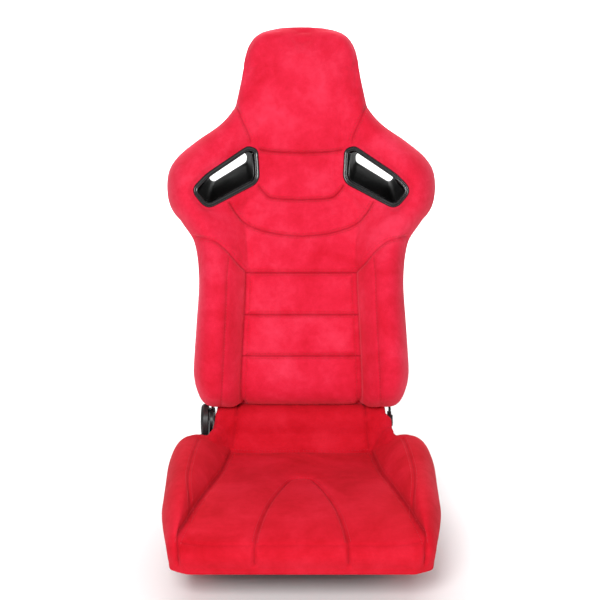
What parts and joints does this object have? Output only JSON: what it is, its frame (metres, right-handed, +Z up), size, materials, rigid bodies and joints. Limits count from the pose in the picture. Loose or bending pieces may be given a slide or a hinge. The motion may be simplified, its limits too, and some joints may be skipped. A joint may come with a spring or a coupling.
{
  "type": "reclining racing seat",
  "caption": "Reclining bucket seat with shoulder harness slots, side bolsters and a fixed head section, on sliding floor rails.",
  "frame": {"origin": "centre of the four floor bolt holes, at the underside of the lower rails", "axes": "+X to the occupant's left, +Y to the rear, +Z up"},
  "size_m": [0.55, 0.7971, 0.9368],
  "materials": {
    "rail_steel": "satin black",
    "zinc_steel": "zinc plated",
    "cage_plastic": "natural",
    "frame_paint": "satin black",
    "spring_wire": "oiled",
    "black_plastic": "fine grain",
    "shell_plastic": "fine grain",
    "guide_gloss": "gloss black",
    "red_suede": "red microsuede"
  },
  "bodies": {
    "lower_rails": {"lower_rail_left": "rail_steel", "lower_rail_right": "rail_steel", "rail_feet": "rail_steel"},
    "ball_cages": {"ball_cages": "cage_plastic", "rail_balls": "zinc_steel"},
    "seat_base": {"upper_rail_left": "rail_steel", "upper_rail_right": "rail_steel", "rail_bolts": "zinc_steel", "side_member_left": "frame_paint", "side_member_right": "frame_paint", "front_cross_tube": "frame_paint", "rear_cross_tube": "frame_paint", "seat_springs": "spring_wire", "thigh_pan": "frame_paint", "latch_brackets": "frame_paint", "latch_pins": "zinc_steel", "seat_centre_pad": "red_suede", "seat_bolster_left": "red_suede", "seat_bolster_right": "red_suede", "recliner_inner_plate": "frame_paint", "recliner_outer_plate": "frame_paint", "recliner_rivets": "zinc_steel", "pawl_pin": "zinc_steel", "base_bolts": "zinc_steel", "hinge_plate_left": "frame_paint", "recliner_side_cover": "black_plastic"},
    "backrest": {"back_shell": "shell_plastic", "hoop_frame": "frame_paint", "back_springs": "spring_wire", "shell_screws": "black_plastic", "recliner_sector_arm": "frame_paint", "hinge_arm_left": "frame_paint", "arm_bolts": "frame_paint", "pivot_pin_left": "frame_paint", "pivot_pin_right": "frame_paint", "pivot_cap": "black_plastic", "backrest_main_pad": "red_suede", "backrest_chest_pad": "red_suede", "headrest_pad": "red_suede", "backrest_bolster_left": "red_suede", "backrest_bolster_right": "red_suede", "shoulder_wing_left": "red_suede", "shoulder_wing_right": "red_suede", "harness_guide_left": "guide_gloss", "harness_guide_right": "guide_gloss", "rear_guide_ring_left": "black_plastic", "rear_guide_ring_right": "black_plastic"},
    "recliner_lever": {"lever_shaft": "zinc_steel", "lever_handle": "black_plastic"},
    "recliner_pawl": {"recliner_pawl": "zinc_steel"},
    "slide_latch": {"slide_latch_left": "frame_paint", "slide_latch_right": "frame_paint", "towel_bar": "frame_paint", "bar_grip": "black_plastic"}
  },
  "joints": [
    {"name": "seat_slide", "type": "slide", "parent": "lower_rails", "child": "seat_base", "axis": [0, 1, 0], "range_m": [-0.1, 0.1]},
    {"name": "cage_slide", "type": "slide", "parent": "lower_rails", "child": "ball_cages", "axis": [0, 1, 0], "range_m": [-0.05, 0.05]},
    {"name": "backrest_recline", "type": "hinge", "parent": "seat_base", "child": "backrest", "pos_m": [0, 0.12, 0.165], "axis": [1, 0, 0], "range_deg": [-42, 22]},
    {"name": "recliner_lever_lift", "type": "hinge", "parent": "seat_base", "child": "recliner_lever", "pos_m": [-0.2, 0.092, 0.085], "axis": [-1, 0, 0], "range_deg": [0, 20], "stiffness_Nm_per_rad": 0.4, "springref_deg": -17.19},
    {"name": "recliner_pawl_drop", "type": "hinge", "parent": "seat_base", "child": "recliner_pawl", "pos_m": [-0.185, 0.156, 0.103], "axis": [1, 0, 0], "range_deg": [0, 6]},
    {"name": "slide_latch_lift", "type": "hinge", "parent": "seat_base", "child": "slide_latch", "pos_m": [0, 0.02, 0.048], "axis": [-1, 0, 0], "range_deg": [0, 6], "stiffness_Nm_per_rad": 4, "springref_deg": -11.46}
  ],
  "couplings": [
    {"joint": "cage_slide", "follows": "seat_slide", "ratio": 0.5},
    {"joint": "recliner_pawl_drop", "follows": "recliner_lever_lift", "ratio": 0.3}
  ]
}
